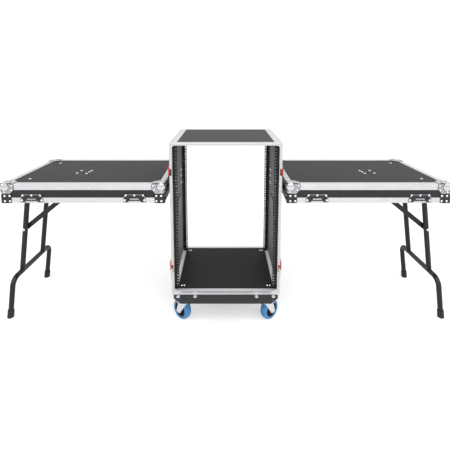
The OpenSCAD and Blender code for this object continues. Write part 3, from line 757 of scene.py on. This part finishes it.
LOW_LEG, LOW_PLATE, LOW_CUT = 0.045, 0.041, 0.004
LOW_SPOTS = ((0.014, 0.008), (0.037, 0.008), (0.014, 0.033), (0.037, 0.033))
HEAD_R, HEAD_H = 0.0051, 0.0018
RIM_RIVET_R, RIM_RIVET_H = 0.0028, 0.0011
RIM_RIVET_X = (0.151, 0.278, 0.403, 0.530, 0.657)
RIM_RIVET_DROP, RIM_RIVET_TOP, RIM_RIVET_RISE = 0.017, 0.0135, 0.0125
RIM_RIVET_END = 0.085
SHORT_RIVETS = 6
SHADE_LINE_OUT, SHADE_LINE_T = 0.0013, 0.0004
SHADE_LINE_ARC = (128, 322)
SHADE_LINE_RING = 1.32
KEEPER_X, KEEPER_FOOT, KEEPER_T = 0.137, 0.002, 0.002
KEEPER_CLEAR, HOOK_CLEAR = 0.058, 0.022
KEEPER_SPOTS = ((-0.040, 0.034), (0.040, 0.034), (-0.045, 0.010), (0.045, 0.010), (0.0, 0.034))
KEEPER_RIM = ((0.044, 0.039), (0.052, 0.015), (0.052, 0.0), (0.030, 0.0), (0.024, 0.006),
              (-0.024, 0.006), (-0.030, 0.0), (-0.052, 0.0), (-0.052, 0.015), (-0.044, 0.039))
RIM_SECTION = ((0.0004, 0.0019), (0.0007, 0.0028), (0.0027, 0.0028), (0.0032, 0.0019))
BAR_PROFILE = ((-0.020, 0.0), (-0.020, 0.0022), (0.020, 0.0022), (0.020, 0.0))
BAR_OUT, BAR_RISE = 0.0012, 0.0185


def closed_grid(points):
    """Quads over a grid of points whose two parameters both run round and close, as (vertices, faces)."""
    m, n = points.shape[:2]
    i, j = np.meshgrid(np.arange(m), np.arange(n), indexing="ij")
    here, right = i * n + j, i * n + (j + 1) % n
    down, beyond = ((i + 1) % m) * n + j, ((i + 1) % m) * n + (j + 1) % n
    return points.reshape(-1, 3), np.stack([here, down, beyond, right], axis=-1).reshape(-1, 4)


def mitred_ring(profile, low, high):
    """A closed profile of (inset from the rectangle, height) carried round a rectangle, mitred at its four
    corners: each profile point gives one loop of four corners."""
    profile = np.asarray(profile, float)
    sign = np.array([(-1, -1), (1, -1), (1, 1), (-1, 1)], float)
    middle = (low[:2] + high[:2]) / 2
    half = (high[:2] - low[:2]) / 2
    flat = middle + sign[None] * (half[None, None] - profile[:, 0, None, None])
    heights = np.broadcast_to(profile[:, 1, None, None], flat.shape[:2] + (1,))
    return closed_grid(np.concatenate([flat, heights], axis=-1))


def grooved(places, depth):
    """Points across a groove of parabolic section at each of `places`, as (place, depth) pairs."""
    return [(at + TABLE_RIB_HALF * t, depth * (1.0 - t * t))
            for at in places for t in np.linspace(-1.0, 1.0, 5)]


def table_extrusions(table, low, high):
    """The ribbed angle round the top and the closing extrusion below it, each a mitred ring."""
    top, foot = high[2], low[2]
    angle = [(0.0, top - SIDE_LEG)]
    angle += [(deep, z) for z, deep in grooved([top - at for at in SIDE_RIBS], SIDE_RIB_DEPTH)]
    angle += [(0.0, top - 0.002), (0.0, top - 0.0012), (0.0004, top - 0.0004), (0.0012, top)]
    angle += [(at, top - deep) for at, deep in grooved(TOP_RIBS, TOP_RIB_DEPTH)]
    angle += [(TOP_LEG - 0.0003, top), (TOP_LEG, top - 0.0004), (TOP_LEG, top - WALL), (WALL, top - WALL),
              (WALL, top - SIDE_LEG)]
    closing = [(0.0, foot + 0.0005)]
    closing += [(deep, z) for z, deep in grooved([foot + at for at in CLOSING_RIBS], SIDE_RIB_DEPTH)]
    closing += [(0.0, foot + FLANGE), (WALL, foot + FLANGE), (WALL, foot + SHELF_H), (0.011, foot + SHELF_H),
                (0.011, foot + TONGUE_H), (0.0125, foot + TONGUE_H), (0.0125, foot), (0.009, foot),
                (0.009, foot + GROOVE_H), (0.0025, foot + GROOVE_H), (0.0025, foot), (0.0005, foot)]
    make_piece(table + "_extrusions", [mitred_ring(angle, low, high), mitred_ring(closing, low, high)], ALU_X,
               table, [table + "_edging"])


def ear_outline(along, across_it, cut, round_r):
    """Outline of one plate of a corner, from its corner at (0, 0) out to -along and -across_it. The far
    corner is cut at 45 degrees by `cut`, and the two ends beside it are rounded by `round_r`."""
    arc = np.linspace(0.0, math.pi / 2, 6)
    wide, deep = round_r * np.cos(arc), round_r * np.sin(arc)
    first = np.column_stack([-round_r + wide + EAR_T * np.cos(arc), -across_it + round_r - deep])
    last = np.column_stack([-along + round_r - wide, -round_r + deep + EAR_T * np.sin(arc)])
    return np.vstack([(EAR_T, EAR_T), first, (cut - along, -across_it), (-along, cut - across_it), last])


def laid(spot, outward, normal, first, second, lift):
    """Points on the face with that normal axis: `first` and `second` outwards from `spot` along the face's
    two axes, and raised by `lift`."""
    a, b = [k for k in range(3) if k != normal]
    points = np.zeros((len(first), 3))
    points[:, a] = spot[a] + outward[a] * first
    points[:, b] = spot[b] + outward[b] * second
    points[:, normal] = spot[normal] + outward[normal] * lift
    return points


def plate_on(corner, outward, outline, normal, thick=EAR_T):
    """A plate: an outline of (first, second) distances laid on a face, and raised by `thick`."""
    step = np.zeros(3)
    step[normal] = outward[normal] * thick
    return straight_run(laid(corner, outward, normal, outline[:, 0], outline[:, 1], 0.0), np.zeros(3), step)


def inset(outline, by):
    """The outline with every side moved inwards by `by`. Each corner goes to where its moved sides meet."""
    outline = np.asarray(outline, float)
    ahead = np.roll(outline, -1, axis=0)
    along = ahead - outline
    along /= np.linalg.norm(along, axis=1)[:, None]
    area = np.sum(outline[:, 0] * ahead[:, 1] - ahead[:, 0] * outline[:, 1])
    here = np.stack([-along[:, 1], along[:, 0]], axis=1) * (1.0 if area > 0 else -1.0)
    before = np.roll(here, 1, axis=0)
    return outline + by * (before + here) / (1.0 + np.sum(before * here, axis=1))[:, None]


def boss(spot, normal, outward, reach):
    """A low dome on one plate of a ball corner: a spherical cap of base radius BOSS_R and height BOSS_H, cut
    off where it would pass the plate's two outer edges, `reach` away from its middle. It has an upright skirt
    and a flat base."""
    around, rings = 48, 6
    turn = np.arange(around) * 2 * math.pi / around
    first, second = np.cos(turn), np.sin(turn)
    limit = np.full(around, BOSS_R)
    for part in (first, second):
        near = part > 0.1
        limit[near] = np.minimum(limit[near], reach / part[near])
    sphere = (BOSS_R ** 2 + BOSS_H ** 2) / (2 * BOSS_H)
    points = [laid(spot, outward, normal, limit * first, limit * second, -SHADE_LINE_T)]
    for share in np.linspace(1.0, 0.0, rings + 1)[:-1]:
        out = limit * share
        lift = np.sqrt(sphere ** 2 - out ** 2) - (sphere - BOSS_H)
        points.append(laid(spot, outward, normal, out * first, out * second, lift))
    tip = np.array(spot, float)
    tip[normal] += outward[normal] * BOSS_H
    return np.vstack(points + [tip]), cap_faces(rings + 1, around)


def shade_line_arc(spot, normal, outward):
    """A flat dark band round the inner side of a boss, painted shade where the boss rises from the ear, from
    the arc's first angle to its second.
    """
    steps = 28
    turn = np.linspace(*np.radians(SHADE_LINE_ARC), steps)
    inner, outer = BOSS_R - 0.0003, BOSS_R + 0.0017
    section = ((inner, -0.0003), (inner, SHADE_LINE_T), (outer, SHADE_LINE_T), (outer, -0.0003))
    loops = [laid(spot, outward, normal, r * np.cos(turn), r * np.sin(turn), lift) for r, lift in section]
    faces = [[4 * k + e, 4 * k + (e + 1) % 4, 4 * k + 4 + (e + 1) % 4, 4 * k + 4 + e]
             for k in range(steps - 1) for e in range(4)]
    ends = [[3, 2, 1, 0], [4 * steps - 4, 4 * steps - 3, 4 * steps - 2, 4 * steps - 1]]
    return np.stack(loops, axis=1).reshape(-1, 3), faces + ends


def ball(centre, radius):
    """A sphere: a half circle of 24 steps turned round Z."""
    t = np.linspace(0.0, math.pi, 25)
    return turned(np.column_stack([-np.cos(t) * radius, np.sin(t) * radius]), centre, (0, 0, 1))


def table_corners(table, low, high):
    """Four ball corners with three ears each, the lower plates under them, and the dark lines of painted
    shade round both.
    The rivet heads are returned, to be joined with the rim's."""
    top, foot = high[2], low[2]
    ears, balls, lower, shade_lines, heads = [], [], [], [], []
    top_shape = ear_outline(EAR, EAR, TOP_EAR_CUT, EAR_ROUND)
    side_shape = ear_outline(EAR, EAR_DROP, SIDE_EAR_CUT, EAR_ROUND)
    low_shape = ear_outline(LOW_LEG, LOW_PLATE, LOW_CUT, LOW_CUT)
    for ex, ox in ((low[0], -1.0), (high[0], 1.0)):
        for ey, oy in ((low[1], -1.0), (high[1], 1.0)):
            corner, outward = np.array((ex, ey, top)), np.array((ox, oy, 1.0))
            middle = corner - outward * BALL_IN
            balls.append(ball(middle, BALL_R))
            for normal, shape in ((2, top_shape), (0, side_shape), (1, side_shape)):
                ears.append(plate_on(corner, outward, shape, normal))
                # A dark sheet a little larger than each ear, under it: painted shade along the ear's edge.
                shade_lines.append(plate_on(corner, outward, inset(shape, -SHADE_LINE_OUT), normal, SHADE_LINE_T))
                spot = middle.copy()
                spot[normal] = corner[normal] + outward[normal] * EAR_T
                balls.append(boss(spot, normal, outward, BALL_IN + EAR_T))
                shade_lines.append(shade_line_arc(spot, normal, outward))
            for normal in (0, 1):
                lower.append(plate_on(np.array((ex, ey, foot)), (ox, oy, -1.0), low_shape, normal))
            x_face, y_face = ex + ox * EAR_T, ey + oy * EAR_T
            faces = (([(ex - ox * a, ey - oy * b, top + EAR_T) for a, b in TOP_EAR_SPOTS], (0, 0, 1)),
                     ([(ex - ox * a, y_face, top - b) for a, b in SIDE_EAR_SPOTS], (0, oy, 0)),
                     ([(x_face, ey - oy * a, top - b) for a, b in SIDE_EAR_SPOTS], (ox, 0, 0)))
            for places, normal in faces:
                heads += domes(places, normal, HEAD_R, HEAD_H)
                # Dark discs wider than the rivet heads, under them: painted shade round each head.
                shade_lines += domes(places, normal, HEAD_R * SHADE_LINE_RING, SHADE_LINE_T)
            faces = (([(ex - ox * a, y_face, foot + b) for a, b in LOW_SPOTS], (0, oy, 0)),
                     ([(x_face, ey - oy * a, foot + b) for a, b in LOW_SPOTS], (ox, 0, 0)))
            for places, normal in faces:
                heads += domes(places, normal, HEAD_R, HEAD_H)
    make_piece(table + "_corner_ears", ears, EAR_STEEL, table, [table + "_corners"])
    make_piece(table + "_corner_balls", balls, BALL_STEEL_PAINTED_HIGHLIGHT, table)
    # The lower plates take the near-black steel: painted dark reflection.
    make_piece(table + "_lower_plates", lower, STEEL_PAINTED_DARK_REFLECTION, table)
    make_piece(table + "_corner_shade_lines", shade_lines, SHADE_LINE_PAINT, table)
    return heads


def rim_rivets(low, high, sign):
    """Rivets through the angle and the closing extrusion on all four sides, left out where a keeper or a hook
    is. `sign` points away from the case, and the long sides' rivets are measured from that end."""
    top, foot = high[2], low[2]
    long_x = np.array([(low[0] if sign < 0 else high[0]) - sign * a for a in RIM_RIVET_X])
    between_x = [x for x in (long_x[:-1] + long_x[1:]) / 2
                 if min(abs(x - low[0] - KEEPER_X), abs(x - high[0] + KEEPER_X)) > KEEPER_CLEAR]
    short_y = np.linspace(low[1] + RIM_RIVET_END, high[1] - RIM_RIVET_END, SHORT_RIVETS)
    spots = []
    for ey, oy in ((low[1], -1.0), (high[1], 1.0)):
        face = ey - oy * BEDDED
        spots.append(([(x, face, top - RIM_RIVET_DROP) for x in long_x], (0, oy, 0)))
        spots.append(([(x, face, foot + RIM_RIVET_RISE) for x in between_x], (0, oy, 0)))
        spots.append(([(x, ey - oy * RIM_RIVET_TOP, top - BEDDED) for x in long_x], (0, 0, 1)))
    for ex, ox in ((low[0], -1.0), (high[0], 1.0)):
        clear_y = [y for y in short_y if ox * sign > 0 or abs(abs(y) - STIRRUP_Y) > HOOK_CLEAR]
        heights = (top - RIM_RIVET_DROP, foot + RIM_RIVET_RISE)
        spots.append(([(ex - ox * BEDDED, y, z) for y in clear_y for z in heights], (ox, 0, 0)))
        spots.append(([(ex - ox * RIM_RIVET_TOP, y, top - BEDDED) for y in short_y], (0, 0, 1)))
    return [head for places, normal in spots for head in domes(places, normal, RIM_RIVET_R, RIM_RIVET_H)]


def table_keepers(table, low, high):
    """Keeper plates on the long sides: pressed steel with a raised rim, five rivets and a hook bar. The plate
    is near-black steel, a painted dark reflection, and the rim lighter ear steel, a painted highlight.
    """
    foot = low[2] + KEEPER_FOOT
    heads, bars, rims = [], [], []
    for x in (low[0] + KEEPER_X, high[0] - KEEPER_X):
        for ey, oy in ((low[1], -1.0), (high[1], 1.0)):
            spots = [(x + a, ey + oy * KEEPER_T, foot + b) for a, b in KEEPER_SPOTS]
            heads += domes(spots, (0, oy, 0), HEAD_R, HEAD_H)
            bars.append(turned(BAR_PROFILE, (x, ey + oy * BAR_OUT, low[2] + BAR_RISE), (1, 0, 0), 16))
            loops = [[(x + a, ey + oy * lift, foot + b) for a, b in inset(KEEPER_RIM, by)]
                     for by, lift in RIM_SECTION]
            rims.append(closed_grid(np.array(loops)))
    eased(table + "_keepers", 0.0005, STEEL_PAINTED_DARK_REFLECTION)
    make_piece(table + "_keeper_rivets", heads, RIVET, table)
    make_piece(table + "_keeper_bars", bars, PLATED, table)
    # The raised rims in the lighter ear steel: painted highlight on the keeper's rim.
    make_piece(table + "_keeper_rims", rims, EAR_STEEL, table)


for table, sign in (("left_table", -1.0), ("right_table", 1.0)):
    low, high = (np.array(c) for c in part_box(table + "_edging"))
    eased(table + "_panel", PLY_EASE, LAMINATE)
    eased(table + "_rim", 0.0004, LAMINATE_WALL)
    table_extrusions(table, low, high)
    heads = table_corners(table, low, high) + rim_rivets(low, high, sign)
    make_piece(table + "_rivets", heads, RIVET, table)
    table_keepers(table, low, high)

# ---- Folding legs ----
# A welded frame of black powder-coated tube on two pivot brackets, with rubber feet and one folding
# brace whose far end slides in a track under the lid.
POWDER = finish_of("black powder coat", (0.012, 0.012, 0.013, 1.0), 0.3, drift=0.2, scale=18.0, level=0.4)
FOOT_RUBBER = finish_of("foot rubber", (0.016, 0.016, 0.017, 1.0), 0.7, drift=0.25, scale=60.0)
PIN_HEAD_Y = -0.1244
PIN_HEAD_R, PIN_HEAD_H = 0.0078, 0.0042
orange_peel = object_texture(POWDER, "ShaderNodeTexNoise", 700.0)
add_relief(POWDER, orange_peel, 0, 0.2, 0.0002)
for side in ("left", "right"):
    eased(side + "_table_leg_mounts", 0.0004, PLATED, steps=1)
    eased(side + "_leg_frame", 0.0, POWDER, crease=40.0)
    eased(side + "_leg_brace", 0.0005, POWDER)
    eased(side + "_leg_feet", 0.0012, FOOT_RUBBER)
    pin = next(j["pos_m"] for j in frame["joints"] if j["name"] == side + "_brace_fold")
    head = domes([(pin[0], PIN_HEAD_Y, pin[2])], (0, -1, 0), PIN_HEAD_R, PIN_HEAD_H, rings=5, around=24)
    make_piece(side + "_brace_bolt_head", head, SCREW, side + "_leg")
